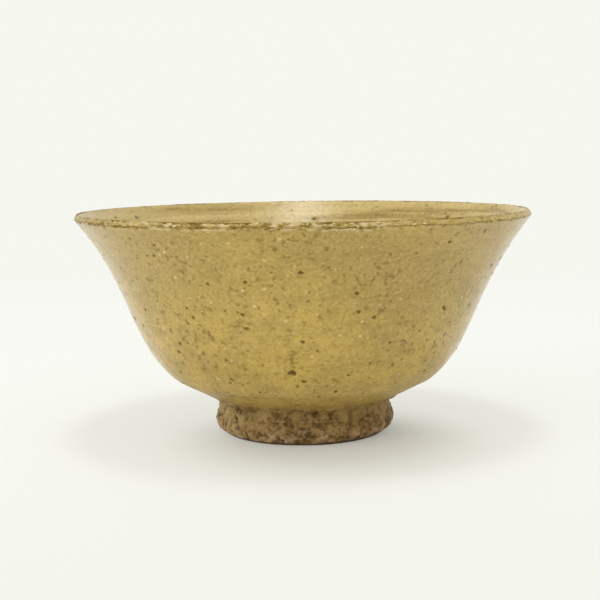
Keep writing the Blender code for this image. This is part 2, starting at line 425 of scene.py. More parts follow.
def fill_clay(sketch, given):
    """Coarse bare clay: lumps, torn hollows along the turning and grit, but flat on the sole."""
    place = sketch.out("GeometryNodeInputPosition")
    normal = sketch.out("GeometryNodeInputNormal")
    lumps = sketch.noise(sketch.skewed(place), given["Lump Density"], 3.0, 0.55, 0.4)
    relief = sketch.centred(lumps, sketch.times(given["Lump Depth"], 2.0))
    drawn = sketch.vector("MULTIPLY", place, (0.35, 0.35, 1.0))
    tears = sketch.ramp(sketch.noise(drawn, 420.0, 2.0, 0.6, 0.5), 0.40, 0.30)
    relief = sketch.math("SUBTRACT", relief, sketch.times(tears, given["Tear Depth"]))
    cells = sketch.out("ShaderNodeTexVoronoi", {"Vector": place, "Scale": 620.0})
    grit = sketch.ramp(cells, 0.10, 0.55, 1.0, 0.0)
    relief = sketch.plus(relief, sketch.times(grit, given["Grit Depth"]))
    relief = sketch.times(relief, sketch.ramp(sketch.parts(place)[2], 0.0, given["Flat Below"]))
    kept = stored(sketch, given["Geometry"], "relief", sketch.math("DIVIDE", relief, MM), "FLOAT")
    offset = sketch.vector("ADD", sketch.scaled(normal, relief), sway(sketch, place, given["Sway"]))
    return finished(sketch, moved(sketch, kept, offset), given["Material"])


def fill_scatter(sketch, given):
    """Stone grains or chips, sunk into the front of a coat, long side along the turning."""
    hem, front = marked(sketch, "hem"), marked(sketch, "front")
    inland = sketch.out("FunctionNodeCompare", {0: hem, 1: given["Inland"]}, operation="GREATER_THAN")
    thick = sketch.times(sketch.math("GREATER_THAN", front, FULL_FRONT), given["Density"])
    spread = sketch.add(
        "GeometryNodeDistributePointsOnFaces",
        {"Mesh": given["Geometry"], "Selection": inland, "Density": thick, "Seed": given["Seed"]},
        distribute_method="RANDOM",
    ).outputs
    place = sketch.out("GeometryNodeInputPosition")
    round_axis = sketch.vector("CROSS_PRODUCT", (0.0, 0.0, 1.0), place)
    aligned = {"Rotation": spread["Rotation"], "Vector": round_axis}
    along = sketch.out("FunctionNodeAlignRotationToVector", aligned, axis="X", pivot_axis="Z")
    limits = {0: given["Least"], 1: given["Most"], "Seed": given["Seed"]}
    sizes = sketch.out("FunctionNodeRandomValue", limits, data_type="FLOAT_VECTOR")
    ball = sketch.out("GeometryNodeMeshUVSphere", {"Segments": 8, "Rings": 5, "Radius": 1.0})
    wear = sketch.centred(sketch.noise(place, 1.3, 2.0), 1.2)
    stone = moved(sketch, ball, sketch.scaled(sketch.out("GeometryNodeInputNormal"), wear))
    copies = sketch.out(
        "GeometryNodeInstanceOnPoints",
        {"Points": spread["Points"], "Instance": stone, "Rotation": along, "Scale": sizes},
    )
    return finished(sketch, copies, given["Material"])


# Each tree by its name, what fills it, and the inputs it has between its geometry and its material
FIRED_COAT = ("Fired coat", fill_coat, {
    "Sway": 0.3 * MM, "Ring Depth": 0.1 * MM, "Ring Pitch": 2.0 * MM, "Skin Depth": 0.1 * MM,
    "Pit Depth": 0.3 * MM, "Pit Radius": 0.8 * MM, "Pit Spacing": 5.4 * MM,
    "Blister Radius": 1.4 * MM, "Blister Spacing": 17.0 * MM,
})
COARSE_CLAY = ("Coarse clay", fill_clay, {
    "Sway": 0.3 * MM, "Lump Depth": 0.8 * MM, "Lump Density": 220.0, "Tear Depth": 0.6 * MM,
    "Grit Depth": 0.3 * MM, "Flat Below": 1.0 * MM,
})
SCATTERED_GRAINS = ("Scattered grains", fill_scatter, {
    "Density": 12000.0, "Inland": 2.0 * MM, "Least": (0.0003, 0.0003, 0.0001),
    "Most": (0.0006, 0.0005, 0.0003), "Seed": 1,
})


def grown(name, base, kind, values):
    """A plain mesh object made by one of the trees from a base mesh. The base is used up."""
    tree_name, fill, usual = kind
    inputs = [(label, SOCKETS[type(value)], value) for label, value in usual.items()]
    inputs = [("Geometry", GEOMETRY, None), *inputs, ("Material", "NodeSocketMaterial", None)]
    tree = node_group("GeometryNodeTree", tree_name, inputs, ("Geometry", GEOMETRY), fill)
    holder = bpy.data.objects.new(name + "_base", base)
    bpy.context.scene.collection.objects.link(holder)
    modifier = holder.modifiers.new("build", "NODES")
    modifier.node_group = tree
    for item in tree.interface.items_tree:
        if item.item_type == "SOCKET" and item.in_out == "INPUT" and item.name in values:
            modifier[item.identifier] = values[item.name]
    bpy.context.view_layer.update()
    evaluated = holder.evaluated_get(bpy.context.evaluated_depsgraph_get())
    mesh = bpy.data.meshes.new_from_object(evaluated)
    bpy.data.objects.remove(holder, do_unlink=True)
    if not mesh.polygons:
        raise RuntimeError(name + " came out empty")
    mesh.set_sharp_from_angle(angle=SHARP_FROM)
    mesh.name = name
    piece = bpy.data.objects.new(name, mesh)
    bpy.context.scene.collection.objects.link(piece)
    return piece


# Turned shapes

def bezier(start, first, second, end, steps):
    t = np.linspace(0.0, 1.0, steps + 1)[:, None]
    u = 1.0 - t
    points = [np.asarray(p, float) for p in (start, first, second, end)]
    weights = (u**3, 3.0 * u * u * t, 3.0 * u * t * t, t**3)
    return sum(w * p for w, p in zip(weights, points))


def lean(tilt, length):
    return np.array((math.sin(tilt), math.cos(tilt))) * length


def lengths(line):
    return np.concatenate([[0.0], np.cumsum(np.linalg.norm(np.diff(line, axis=0), axis=1))])


def walk(line, distance, values=None):
    """The line's points, or other values it has there, at distances along it."""
    along = lengths(line)
    values = line if values is None else values
    return np.stack([np.interp(distance, along, values[:, i]) for i in (0, 1)], axis=-1)


def spaced(line, count, closed):
    """The line cut into even steps."""
    run = np.concatenate([line, line[:1]]) if closed else line
    return walk(run, np.linspace(0.0, lengths(run)[-1], count, endpoint=not closed))


def clay_side(line):
    """Unit normals that face into the clay, where the line runs from the neck over the lip."""
    step = np.gradient(line, lengths(line), axis=0)
    side = np.stack([-step[:, 1], step[:, 0]], axis=-1)
    return side / np.linalg.norm(side, axis=1)[:, None]


def lip_edges(shape):
    """The lip's widest edge and its top edge."""
    widest = np.array((shape.rim_radius, shape.height - shape.lip_height))
    return widest, np.array((shape.rim_radius - shape.lip_inset, shape.height))


def outside_line(shape, with_neck=True):
    """The outside from the neck by the hip to the lip's widest edge."""
    hip = np.array((shape.hip_radius, shape.hip_height))
    widest, _ = lip_edges(shape)
    low, high = lean(shape.hip_lean, shape.hip_pull), lean(shape.rim_lean, shape.rim_pull)
    wall = bezier(hip, hip + low, widest - high, widest, WALL_STEPS)
    if not with_neck:
        return wall
    neck = np.array((shape.neck_radius, shape.neck_height))
    under = neck + (hip - neck) * np.linspace(0.0, 1.0, CONE_STEPS)[:-1, None]
    return np.concatenate([under, wall])


def inside_line(shape):
    """The inside from the lip's top edge to the centre of the tea pool."""
    wall = outside_line(shape, with_neck=False)
    normals = clay_side(wall)
    _, top = lip_edges(shape)
    lip = float(np.dot(top - wall[-1], normals[-1]))
    share = np.clip(np.linalg.norm(wall - wall[-1], axis=1) / shape.lip_taper, 0.0, 1.0)
    depth = lip + (shape.wall - lip) * share * share * (3.0 - 2.0 * share)
    inner = (wall + normals * depth[:, None])[::-1]
    inner[0] = top
    rim = np.array((shape.pool_radius + POOL_EDGE, shape.floor_height + POOL_DEPTH))
    low = inner[-1] - lean(shape.hip_lean, WELL_PULL)
    sweep = bezier(inner[-1], low, rim + (WELL_PULL, 0.0), rim, SWEEP_STEPS)
    sunk = np.array((shape.pool_radius, shape.floor_height))
    bend = (POOL_PULL, 0.0)
    step = bezier(rim, rim - bend, sunk + bend, sunk, POOL_STEPS)
    across = np.linspace(shape.pool_radius, 0.0, FLOOR_STEPS)
    flat = np.stack([across, np.full(FLOOR_STEPS, shape.floor_height)], axis=-1)
    return np.concatenate([inner, sweep[1:], step[1:], flat[1:]])


def worn(line, spot, reach, strokes):
    """The line with its corner at a spot rubbed round."""
    near = (np.linalg.norm(line - spot, axis=1) < reach)[1:-1, None]
    soft = line.copy()
    for _ in range(strokes):
        soft[1:-1] = np.where(near, (soft[:-2] + soft[2:]) / 2.0, soft[1:-1])
    return soft


def skin_parts(shape, overlap=0.0):
    """The fired surface with its edges worn, cut at the lip: the outside, the lip and the inside.

    Each part runs past its cuts by the overlap.
    """
    widest, top = lip_edges(shape)
    lip = widest + (top - widest) * np.linspace(0.0, 1.0, LIP_STEPS)[:, None]
    skin = np.concatenate([outside_line(shape), lip[1:], inside_line(shape)[1:]])
    skin = spaced(skin, SKIN_STEPS, False)
    hip = (shape.hip_radius, shape.hip_height)
    for spot, wear in ((hip, HIP_WEAR), (widest, WIDEST_WEAR), (top, TOP_WEAR)):
        skin = worn(skin, spot, *wear)
    lower, upper = (int(np.linalg.norm(skin - spot, axis=1).argmin()) for spot in (widest, top))
    past = round(len(skin) * overlap / lengths(skin)[-1])
    return skin[:lower + past + 1], skin[lower - past:upper + past + 1], skin[upper - past:]


def softened(points):
    """A closed outline with its corners cut smooth."""
    line = np.asarray(points, float)
    for _ in range(CORNER_CUTS):
        ahead = np.roll(line, -1, axis=0)
        line = np.stack([0.75 * line + 0.25 * ahead, 0.25 * line + 0.75 * ahead], axis=1).reshape(-1, 2)
    return line


def uneven(turn, seed, most, middle=0.5, most_at=None, swings=WANDERING):
    """A width round the rim, from 0 to the most, that repeats after a full turn.

    middle is its usual share of the most, most_at the turn where it is wider, and swings are per turn.
    """
    rng = np.random.default_rng(seed)
    wave = np.zeros_like(turn)
    for count in swings:
        wave += np.sin(count * turn + rng.uniform(0.0, 2.0 * math.pi)) * count**SWING_WEAKENS
    if most_at is not None:
        middle = middle + MORE_ON_ONE_SIDE * np.cos(turn - most_at)
    return most * np.clip(middle + wave / SWING_RANGE, 0.0, 1.0)


def lip_cut(turn, seed):
    """How much of an overlapping part is cut off at its start, where one of the lip's edges wanders."""
    return LIP_OVERLAP + uneven(turn, seed, 2.0 * LIP_WANDER) - LIP_WANDER


def turns(columns):
    return np.linspace(0.0, 2.0 * math.pi, columns, endpoint=False)


def lathe(name, rings, closed, marks=None):
    """A mesh of (radius, height) rings, one row for each step along the outline."""
    count, columns = rings.shape[:2]
    turn = turns(columns)
    radius, height = rings[..., 0], rings[..., 1]
    spots = np.stack([radius * np.cos(turn), radius * np.sin(turn), height], axis=-1)
    row = np.arange(count if closed else count - 1)
    on_axis = radius.max(axis=1) < ON_AXIS
    row = row[~(on_axis[row] & on_axis[(row + 1) % count])][:, None]
    column = np.arange(columns)[None, :]
    after = (column + 1) % columns
    here, above = row * columns, (row + 1) % count * columns
    corners = [here + column, here + after, above + after, above + column]
    faces = np.stack(corners, axis=-1).reshape(-1, 4)
    mesh = bpy.data.meshes.new(name)
    mesh.from_pydata(spots.reshape(-1, 3), [], faces)
    for label, values in (marks or {}).items():
        layer = mesh.attributes.new(label, "FLOAT", "POINT")
        layer.data.foreach_set("value", np.ascontiguousarray(values, np.float32).ravel())
    shape = bmesh.new()
    shape.from_mesh(mesh)
    if on_axis.any():
        bmesh.ops.remove_doubles(shape, verts=shape.verts, dist=ON_AXIS)
    bmesh.ops.recalc_face_normals(shape, faces=shape.faces)
    shape.to_mesh(mesh)
    shape.free()
    return mesh


def coat(name, line, thickness, cut, bare, roll, rows):
    """A closed coat of glaze on a line: a fine front, a plain back, and hems rolled where clay is bare.

    cut holds how much of the line's start and end is left off round the rim, bare the bare widths beside
    that, and roll how far each hem thins. An end with no roll lies on the axis.
    """
    start = cut[0] + bare[0]
    end = lengths(line)[-1] - cut[1] - bare[1]
    distance = start + np.linspace(0.0, 1.0, rows)[:, None] * (end - start)
    side = walk(line, distance, clay_side(line))
    first = np.clip((distance - start) / roll[0], 0.0, 1.0)
    last = np.clip((end - distance) / roll[1], 0.0, 1.0) if roll[1] else np.ones_like(distance)
    sink = np.zeros_like(distance)
    for share, width in ((first, bare[0]), (last, bare[1])):
        deepest = np.clip(width / HEM_OPENS, 0.0, 1.0) * HEM_SINKS * thickness
        sink = np.maximum(sink, deepest * (1.0 - np.sqrt(1.0 - (1.0 - share) ** 2)))
    front = walk(line, distance) + side * sink[..., None]
    back_count = max(rows // FRONT_ROWS_PER_BACK_ROW, 4)
    back_rows = np.unique(np.linspace(rows - 1, 0, back_count).astype(int))[::-1]
    back = (walk(line, distance) + side * thickness)[back_rows]
    if not roll[1]:
        front[-1, :, 0] = 0.0
        back[0, :, 0] = 0.0
    hem = np.minimum(distance - start, end - distance if roll[1] else distance - start)
    none = np.zeros(back.shape[:2])
    marks = {
        "front": np.concatenate([np.clip(np.minimum(first, last) * FRONT_GAIN, 0.0, 1.0), none]),
        "hem": np.concatenate([hem, none]),
    }
    return lathe(name, np.concatenate([front, back]), True, marks)


# Materials

def new_material(name, kept_place=None):
    """A material with its surface, and the place its patterns go by: the object's, or a kept one."""
    material = bpy.data.materials.new(name)
    material.use_nodes = True
    material.node_tree.nodes.clear()
    sketch = Sketch(material.node_tree)
    surface = sketch.add("ShaderNodeBsdfPrincipled")
    sketch.add("ShaderNodeOutputMaterial", {"Surface": surface.outputs[0]})
    if kept_place:
        place = sketch.add("ShaderNodeAttribute", attribute_name=kept_place).outputs["Vector"]
    else:
        place = sketch.add("ShaderNodeTexCoord").outputs["Object"]
    return material, sketch, surface, place


def finish_surface(sketch, surface, bump, inputs):
    """Feeds the surface. bump holds a height, its distance and its strength."""
    height, distance, strength = bump
    normal = sketch.out("ShaderNodeBump", {"Height": height, "Distance": distance, "Strength": strength})
    for label, value in {**inputs, "Normal": normal}.items():
        sketch.feed(surface.inputs[label], value)


def glaze_material(
    name, finish, *, warmth, specks, browned, ring_pitch, ring_strength, hem_width, hem_strength,
    hem_density, chip_strength, chip_reach, coat_weight, coat_ior, coat_roughness,
):
    """Mottled ash glaze: thick gold and thin olive areas, rings, specks, pits, worn flakes and brown hems.

    warmth is the gold's share, and browned how dull the glaze is under the lip and how brown at the neck.
    Near the lip it is flaked as far from its edges as chip_reach, but less at both ends of the X axis.
    The lip is smoked at its -X end. The coat is the clear top of the glaze.
    """
    material, sketch, surface, place = new_material(name, "fired_place")
    ramp, times, noise = sketch.ramp, sketch.times, sketch.noise
    across, _, height = sketch.parts(place)
    cloud = noise(sketch.vector("MULTIPLY", place, (0.7, 0.7, 1.0)), 190.0, 4.0, 0.6, 0.2)
    patch = ramp(noise(sketch.skewed(place), 26.0, 2.0, 0.5, 0.3), 0.38, 0.66)
    # More gold low on the wall: partly the glaze's colour, partly painted light standing in for light from
    # the floor
    patch = times(patch, ramp(height, *GOLD_AND_LIGHT_FADE, 1.2, 0.35))
    from_pool = sketch.vector("MULTIPLY", sketch.vector("SUBTRACT", place, POOLED_AT), (1.0, 1.0, 0.7))
    patch = sketch.larger(patch, ramp(sketch.length(from_pool), *POOLED, 0.0, 1.15))
    # Painted light: more gold just above the hip, standing in for light from the floor
    patch = sketch.larger(patch, ramp(height, *PAINTED_LIGHT_ABOVE_HIP, 0.0, 0.8))
    gold = times(patch, ramp(cloud, 0.30, 0.65, 0.3, 1.0))
    dull = ramp(noise(place, 40.0, 2.0), 0.35, 0.60, 0.30 * browned, browned)
    dull = sketch.plus(dull, ramp(across, *DULL_SIDE, 0.0, 0.6 * browned), clamp=True)
    rings = ring_mask(sketch, place, ring_pitch)

    cluster = ramp(noise(place, 70.0, 2.0), 0.42, 0.60, 0.25 * specks, 0.80 * specks)
    blotch = ramp(noise(place, 480.0, 1.0), 0.42, 0.28)
    grit = noise(place, 1000.0, 2.0, 0.6)
    pale = pit_mask(sketch, place, 5.2 * MM, 0.9 * MM)
    faint = pit_mask(sketch, place, 3.7 * MM, 1.0 * MM)
    pits = pit_mask(sketch, place, finish.pit_spacing, finish.pit_radius)
    blisters = pit_mask(sketch, place, finish.blister_spacing, finish.blister_radius)
    sunk = sketch.larger(times(pits, 0.85), blisters)

    from_edge = sketch.add("ShaderNodeAttribute", attribute_name="hem").outputs["Fac"]
    flaked = ramp(from_edge, 0.3 * chip_reach, chip_reach, chip_strength, 0.0)
    flaked = times(flaked, ramp(height, *FLAKED))
    flaked = times(flaked, ramp(across, *FLAKES_END_RIGHT, 1.0, 0.25))
    flaked = times(flaked, ramp(across, *FLAKES_END_LEFT, 1.0, 0.3))
    flaking = noise(sketch.vector("MULTIPLY", place, (0.55, 0.55, 1.0)), 760.0, 3.0, 0.6)
    smoked = ramp(across, *SMOKED_END, 0.0, 0.35 * chip_strength)
    broken = ramp(noise(place, hem_density, 4.0, 0.65), 0.46, 0.58)
    reach = times(broken, hem_width)
    thin = ramp(from_edge, times(reach, 0.4), sketch.plus(reach, 0.05 * MM), 1.0, 0.0)
    level = sketch.plus(height, sketch.centred(cloud, 6.0 * MM))

    colour = sketch.layered(
        sketch.mix(ramp(cloud, 0.34, 0.64), finish.olive, finish.ochre),
        (times(gold, warmth), finish.gold),
        (times(dull, ramp(height, *DULLED)), finish.olive),
        # Pale on the ring ridges and dark in their grooves: partly streaks in the glaze, partly painted
        # light and shade
        (ramp(rings, 0.46, 0.32, 0.0, ring_strength), finish.thin_glaze),
        (ramp(rings, 0.30, 0.60, 0.0, ring_strength), finish.grain),
        (times(blotch, cluster), finish.thin_glaze),
        (ramp(grit, 0.52, 0.72, 0.0, 0.32), finish.grain),
        (ramp(grit, 0.47, 0.28, 0.0, 0.42), finish.thin_glaze),
        (times(pale, 0.60), finish.grain),
        (times(faint, 0.55 * specks), finish.thin_glaze),
        # Where flaked, dark beside the pale flakes: partly thin glaze laid bare, partly painted shadow in
        # the gaps between flakes
        (times(flaked, ramp(flaking, 0.46, 0.36)), finish.thin_glaze),
        (times(flaked, ramp(flaking, 0.46, 0.58)), finish.flake),
        (times(smoked, ramp(height, *ON_LIP)), finish.thin_glaze),
        (times(thin, ramp(broken, 0.0, 0.3, 0.0, hem_strength)), finish.thin_glaze),
        (ramp(level, *NECK_BROWN, 0.0, 0.75 * browned), finish.clay),
        (times(sunk, 0.92), finish.pit),
    )
    roughness = sketch.plus(ramp(cloud, 0.3, 0.7, 0.56, 0.44), times(sunk, 0.2), clamp=True)
    glossy = times(ramp(sunk, 0.0, 1.0, 1.0, 0.1), ramp(height, *CLEAR_TOP, 0.3, 1.0))
    relief = sketch.plus(cloud, times(grit, 0.6))
    finish_surface(sketch, surface, (relief, 0.18 * MM, 0.7), {
        "Base Color": colour, "Roughness": roughness, "Specular IOR Level": 0.12,
        "Coat Weight": times(glossy, coat_weight), "Coat Roughness": coat_roughness, "Coat IOR": coat_ior,
    })
    return material


def clay_material(name, finish, wash, pale):
    """Coarse fired clay with a wash of glaze higher up. Its hollows are painted dark, a painted shade, and
    its torn lumps pale, partly the clay's own colour and partly painted light.

    Where it is washed, the -X side is painted paler, a painted sheen of the side lamp's light. Under the
    lip the glaze around it has stained it.
    """
    material, sketch, surface, place = new_material(name)
    ramp, times = sketch.ramp, sketch.times
    relief = sketch.add("ShaderNodeAttribute", attribute_name="relief").outputs["Fac"]
    across, _, height = sketch.parts(place)
    place = sketch.skewed(place)
    tone = sketch.noise(place, 300.0, 4.0, 0.65, 0.2)
    grit = sketch.noise(place, 900.0, 3.0, 0.65)
    film = ramp(sketch.noise(place, 230.0, 4.0, 0.65), 0.36, 0.64)
    level = sketch.plus(height, sketch.centred(tone, 10.0 * MM))
    mottle = ramp(tone, 0.40, 0.60)
    washed = times(film, ramp(level, *WASHED, 0.1, 1.0))
    # Partly the clay's paler lumps, partly painted light on the raised relief, mostly low on the foot
    raised = times(ramp(relief, -0.15, 0.40), ramp(level, *BARE_LUMPS, 0.15, 1.0))
    colour = sketch.layered(
        sketch.mix(mottle, finish.dark_clay_and_shade, finish.clay),
        (ramp(height, *STAINED), sketch.mix(mottle, finish.thin_glaze, finish.olive)),
        (times(washed, wash), finish.olive),
        # Painted sheen: paler on the -X side, towards the side lamp
        (times(film, ramp(across, *SIDE_LAMP_SHEEN, 0.0, 0.6 * wash)), finish.grain),
        (times(raised, pale), finish.pale_clay_and_light),
        # Painted shade: darker where the relief sinks into hollows
        (ramp(relief, -0.05, -0.50, 0.0, 0.85), finish.dark_clay_and_shade),
        # The grit's specks follow the bump's noise: partly grit colour, partly painted light on rises and
        # shade in dips
        (ramp(grit, 0.53, 0.70, 0.0, 0.50), finish.pale_clay_and_light),
        (ramp(grit, 0.46, 0.30, 0.0, 0.85), finish.dark_clay_and_shade),
        # Painted shade: a dark line along the sole, where it meets the floor
        (ramp(height, *SOLE_CONTACT_SHADE, 0.0, 0.75), finish.dark_clay_and_shade),
    )
    finish_surface(sketch, surface, (grit, 0.3 * MM, 0.8), {
        "Base Color": colour, "Roughness": ramp(tone, 0.3, 0.7, 0.92, 0.74), "Specular IOR Level": 0.2,
        "Coat Weight": 0.5 * wash, "Coat Roughness": 0.35, "Coat IOR": 1.28,
    })
    return material


def grain_material(name, finish):
    """Half-melted stone grains under a thin film of glaze."""
    material, sketch, surface, place = new_material(name)
    tone = sketch.noise(place, 700.0, 3.0, 0.6)
    colour = sketch.mix(sketch.ramp(tone, 0.40, 0.60), finish.ochre, finish.grain)
    roughness = sketch.ramp(tone, 0.3, 0.7, 0.55, 0.38)
    finish_surface(sketch, surface, (tone, 0.1 * MM, 0.5), {"Base Color": colour, "Roughness": roughness})
    return material


def floor_material(look):
    """A pale floor, darker for the camera than for the bowl's light, over which the camera sees a glow.

    The glow is painted light that lifts the floor's shadows. It is thinner in the shadow close under
    the bowl, and far away it has the backdrop's colour.
    """
    material, sketch, surface, place = new_material("stage_floor")
    # Painted shade: the floor and its glow darken in front of the bowl
    near = sketch.ramp(sketch.parts(place)[1], *FRONT_FLOOR_SHADE)
    seen = sketch.add("ShaderNodeLightPath").outputs["Is Camera Ray"]
    colour = sketch.mix(seen, look.bounce, sketch.mix(near, look.floor, look.shaded_front_floor))
    for label, value in {"Base Color": colour, "Roughness": 0.9, "Specular IOR Level": 0.1}.items():
        sketch.feed(surface.inputs[label], value)
    spread = sketch.length(sketch.vector("SUBTRACT", place, SHADOW_AT))
    far = sketch.ramp(spread, *FAR_FLOOR)
    white = sketch.mix(far, sketch.mix(near, look.white, look.shaded_front_white), look.backdrop)
    pale = sketch.out("ShaderNodeEmission", {"Color": white, "Strength": 1.0})
    # Painted light: the glow's share, less close under the bowl, so the shadow there is lifted less
    share = sketch.ramp(spread, *SHADOW_EDGE, 0.4 * look.shadow_lift, look.shadow_lift)
    share = sketch.plus(share, sketch.times(far, 1.0 - look.shadow_lift))
    share = sketch.times(share, seen)
    both = sketch.out("ShaderNodeMixShader", {0: share, 1: surface.outputs[0], 2: pale})
    end = next(node for node in material.node_tree.nodes if node.type == "OUTPUT_MATERIAL")
    sketch.feed(end.inputs["Surface"], both)
    return material


# Pieces

def place_piece(piece, slot, *nodes):
    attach(piece, "root")
    if nodes:
        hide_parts(*nodes)


def clay_piece(name, line, columns, closed, slot, node, values):
    """Turns a line of bare clay, roughens it and puts it in the place of its node."""
    rings = np.repeat(line[:, None, :], columns, axis=1)
    place_piece(grown(name, lathe(name, rings, closed), COARSE_CLAY, values), slot, node)


def clay_ring(name, outline, grid, slot, node, finish, depths):
    """A ring of coarse clay, turned from an outline whose corners are cut smooth, and flat on the sole."""
    rows, columns = grid
    line = spaced(softened(outline), rows, True)
    line[:, 1] = np.where(line[:, 1] < SOLE_FLAT, 0.0, line[:, 1])
    values = {"Lump Density": 240.0, "Sway": FOOT_SWAY, **depths}
    values["Material"] = clay_material(slot, finish, wash=0.72, pale=1.0)
    clay_piece(name, line, columns, True, slot, node, values)


def glaze_piece(scene, name, part, slot, node, rows, hems, depths, ring_pitch, **look):
    """A coat on a part of the skin, fired and put in the place of its node.

    hems holds a coat's cut, bare and roll, depths those that are not the usual ones, and look its glaze's.
    """
    shape, finish = scene.bowl_shape, scene.bowl_finish
    base = coat(name, skin_parts(shape, LIP_OVERLAP)[part], shape.glaze, *hems, rows)
    values = {
        "Sway": WALL_SWAY, "Ring Depth": 0.16 * MM, "Ring Pitch": ring_pitch, "Skin Depth": 0.22 * MM,
        "Pit Depth": 0.28 * MM, "Pit Radius": finish.pit_radius, "Pit Spacing": finish.pit_spacing,
        "Blister Radius": finish.blister_radius, "Blister Spacing": finish.blister_spacing, **depths,
    }
    values["Material"] = glaze_material(slot, finish, ring_pitch=ring_pitch, **look)
    place_piece(grown(name, base, FIRED_COAT, values), slot, node)


# Operators

class BOWL_OT_clay_body(bpy.types.Operator):
    """Make the thrown clay body, seen at the lip's bare edges, at the neck and inside the foot"""

    bl_idname = "bowl.clay_body"
    bl_label = "Clay Body"
    bl_options = UNDOABLE

    def execute(self, context):
        shape, finish = context.scene.bowl_shape, context.scene.bowl_finish
        outside, lip, inside = skin_parts(shape)
        skin = np.concatenate([outside, lip[1:], inside[1:]])
        edges = np.array([lip[0], lip[-1]])
        gap = np.linalg.norm(skin[:, None, :] - edges[None], axis=2).min(axis=1)
        depth = np.interp(gap, EDGE_GAPS, (*EDGE_DEPTHS, shape.glaze + EDGE_DEPTHS[0]))
        depth = np.where(skin[:, 1] < shape.neck_height + NECK_BARE, NECK_DEPTH, depth)
        clay = skin + clay_side(skin) * depth[:, None]
        clay[-1, 0] = 0.0
        seat = np.array((clay[0, 0], shape.seat_height))
        tip = [(0.0, shape.seat_height - TIP_DROP), (TIP_RADIUS, shape.seat_height)]
        base = [spaced(np.array(tip), 8, False)[:-1], spaced(np.array([tip[1], seat]), 22, False)]
        # The rows lie closer together round the lip
        along = lengths(clay)
        edge = along[len(outside) - 1]
        stops = np.concatenate([
            np.linspace(0.0, edge - 3.0 * MM, 70), np.linspace(edge - 2.7 * MM, edge + 4.5 * MM, 46),
            np.linspace(edge + 5.0 * MM, along[-1], 90),
        ])
        line = np.concatenate([*base, walk(clay, stops)])
        clay_piece("thrown_clay_body", line, CLAY_COLUMNS, False, "stoneware", "clay_body", {
            "Lump Depth": 0.05 * MM, "Tear Depth": 0.0, "Grit Depth": 0.08 * MM, "Flat Below": 1.0 * MM,
            "Sway": WALL_SWAY, "Material": clay_material("bare_clay", finish, wash=0.0, pale=0.15),
        })
        return {"FINISHED"}


class BOWL_OT_foot(bpy.types.Operator):
    """Make the rough swollen foot ring"""

    bl_idname = "bowl.foot"
    bl_label = "Foot Ring"
    bl_options = UNDOABLE

    def execute(self, context):
        shape, finish = context.scene.bowl_shape, context.scene.bowl_finish
        top, swell = shape.foot_top, shape.neck_radius + shape.foot_swell
        outline = [
            (shape.neck_radius - 0.2 * MM, top),
            (swell - 0.7 * MM, top - 1.2 * MM),
            (swell + 0.1 * MM, shape.swell_height + 0.4 * MM),
            (swell - 0.3 * MM, shape.swell_height - 1.4 * MM),
            (swell - 1.7 * MM, 1.3 * MM),
            (shape.sole_outer + 0.6 * MM, 0.4 * MM),
            (shape.sole_outer, 0.0),
            (shape.sole_inner, 0.0),
            (shape.sole_inner - 0.9 * MM, 0.8 * MM),
            (shape.sole_inner - 1.8 * MM, top),
        ]
        clay_ring("rough_foot_ring", outline, FOOT_GRID, "foot_clay", "foot_ring", finish, {
            "Lump Depth": 1.2 * MM, "Tear Depth": 0.5 * MM, "Grit Depth": 0.3 * MM, "Flat Below": 1.8 * MM,
        })
        return {"FINISHED"}


class BOWL_OT_slip(bpy.types.Operator):
    """Make the slip that lutes the foot on, smeared out over the joint"""

    bl_idname = "bowl.slip"
    bl_label = "Luting Slip"
    bl_options = UNDOABLE

    def execute(self, context):
        shape, finish = context.scene.bowl_shape, context.scene.bowl_finish
        neck, seat, top = shape.neck_radius, shape.seat_height, shape.foot_top
        slope = (shape.hip_height - shape.neck_height) / (shape.hip_radius - neck)

        def under(out, below):
            return (neck + out, shape.neck_height + slope * out - below)

        outline = [
            (shape.sole_inner - 1.9 * MM, seat),
            (shape.sole_inner - 1.9 * MM, top),
            (neck - 0.6 * MM, top),
            (neck + 0.8 * MM, top - 1.2 * MM),
            (neck + 1.2 * MM, top - 0.6 * MM),
            (neck + 0.5 * MM, seat - 0.2 * MM),
            (neck + 0.5 * MM, seat + 0.6 * MM),
            under(1.6 * MM, 0.35 * MM),
            under(3.2 * MM, 0.12 * MM),
            under(4.0 * MM, -0.10 * MM),
            under(3.0 * MM, -0.60 * MM),
            (neck - 0.8 * MM, seat + 1.2 * MM),
            (neck - 0.8 * MM, seat),
        ]
        clay_ring("smeared_slip", outline, SLIP_GRID, "slip_clay", "luting_slip", finish, {
            "Lump Depth": 0.7 * MM, "Tear Depth": 0.4 * MM, "Grit Depth": 0.2 * MM, "Flat Below": 1.0 * MM,
        })
        return {"FINISHED"}


